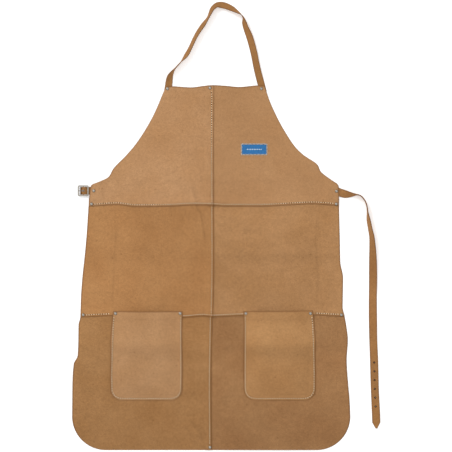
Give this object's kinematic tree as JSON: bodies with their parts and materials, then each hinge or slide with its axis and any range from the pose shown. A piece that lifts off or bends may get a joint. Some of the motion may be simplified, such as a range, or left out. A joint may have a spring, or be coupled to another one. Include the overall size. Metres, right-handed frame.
{
  "type": "leather welding apron",
  "caption": "Bib apron of lapped split leather with patch pockets, a neck strap, and a waist strap that closes in a square buckle.",
  "frame": {"origin": "on the wearer's side of the leather, where the centre seam crosses the waist seam", "axes": "+Z out of the apron's front, +Y up towards the neck strap, +X towards the side with the long waist strap"},
  "size_m": [0.7701, 1.1203, 0.0201],
  "materials": {
    "bib_suede": "split cowhide, napped",
    "body_suede": "split cowhide, napped",
    "skirt_suede": "split cowhide, napped",
    "pocket_suede": "split cowhide, napped",
    "strap_leather": "split cowhide strap, cut edges",
    "nickel": "bright nickel plate",
    "seam_thread": "waxed twisted thread",
    "label_cloth": "printed woven label"
  },
  "bodies": {
    "apron": {"bib_left_waist": "bib_suede", "bib_right_waist": "bib_suede", "middle_left": "body_suede", "middle_right": "body_suede", "skirt_left": "skirt_suede", "skirt_right": "skirt_suede", "pocket_left": "pocket_suede", "pocket_right": "pocket_suede", "rivet_cap_waist_seam_left": "nickel", "rivet_back_waist_seam_left": "nickel", "rivet_cap_waist_seam_right": "nickel", "rivet_back_waist_seam_right": "nickel", "rivet_cap_skirt_seam_left": "nickel", "rivet_back_skirt_seam_left": "nickel", "rivet_cap_skirt_seam_right": "nickel", "rivet_back_skirt_seam_right": "nickel", "rivet_cap_pocket_left_inner": "nickel", "rivet_back_pocket_left_inner": "nickel", "rivet_cap_pocket_left_outer": "nickel", "rivet_back_pocket_left_outer": "nickel", "rivet_cap_pocket_right_inner": "nickel", "rivet_back_pocket_right_inner": "nickel", "rivet_cap_pocket_right_outer": "nickel", "rivet_back_pocket_right_outer": "nickel", "rivet_cap_waist_strap": "nickel", "rivet_back_waist_strap": "nickel", "rivet_cap_buckle_tab": "nickel", "rivet_back_buckle_tab": "nickel", "rivet_cap_hem": "nickel", "rivet_back_hem": "nickel", "thread_centre_skirt": "seam_thread", "thread_centre_middle": "seam_thread", "thread_centre_waist": "seam_thread", "thread_waist_seam": "seam_thread", "thread_skirt_seam_left": "seam_thread", "thread_skirt_seam_middle": "seam_thread", "thread_skirt_seam_right": "seam_thread", "thread_pocket_left": "seam_thread", "thread_pocket_right": "seam_thread"},
    "bib": {"bib_left": "bib_suede", "bib_right": "bib_suede", "label": "label_cloth", "thread_label": "seam_thread", "thread_centre_bib": "seam_thread", "neck_strap_end_left": "strap_leather", "neck_strap_end_right": "strap_leather", "rivet_cap_neck_left": "nickel", "rivet_back_neck_left": "nickel", "rivet_cap_neck_right": "nickel", "rivet_back_neck_right": "nickel", "rivet_cap_bib_top": "nickel", "rivet_back_bib_top": "nickel"},
    "neck_loop": {"neck_strap": "strap_leather"},
    "strap_end": {"waist_strap_end": "strap_leather"},
    "waist_strap": {"waist_strap": "strap_leather"},
    "tab": {"buckle_tab": "strap_leather"},
    "buckle": {"buckle_frame": "nickel"},
    "prong": {"buckle_prong": "nickel"}
  },
  "joints": [
    {"name": "bib_fold", "type": "hinge", "parent": "apron", "child": "bib", "pos_m": [0, 0.072, 0.0042], "axis": [1, 0, 0], "range_deg": [0, 165]},
    {"name": "neck_strap_fold", "type": "hinge", "parent": "bib", "child": "neck_loop", "pos_m": [0, 0.3023, 0.001], "axis": [1, 0, 0], "range_deg": [-110, 20]},
    {"name": "waist_strap_swivel", "type": "hinge", "parent": "apron", "child": "strap_end", "pos_m": [0.30853, 0.037, 0.0011], "axis": [0, 0, 1], "range_deg": [0, 26]},
    {"name": "waist_strap_fold", "type": "hinge", "parent": "strap_end", "child": "waist_strap", "pos_m": [0.31953, 0.033, 0.0011], "axis": [0, 1, 0], "range_deg": [-90, 95]},
    {"name": "tab_swivel", "type": "hinge", "parent": "apron", "child": "tab", "pos_m": [-0.2977, 0.038, 0.0017], "axis": [0, 0, 1], "range_deg": [-8, 4]},
    {"name": "buckle_tilt", "type": "hinge", "parent": "tab", "child": "buckle", "pos_m": [-0.324, 0.038, 0.0051], "axis": [0, -1, 0], "range_deg": [0, 32]},
    {"name": "prong_swing", "type": "hinge", "parent": "buckle", "child": "prong", "pos_m": [-0.324, 0.038, 0.0051], "axis": [0, 1, 0], "range_deg": [0, 100]}
  ]
}
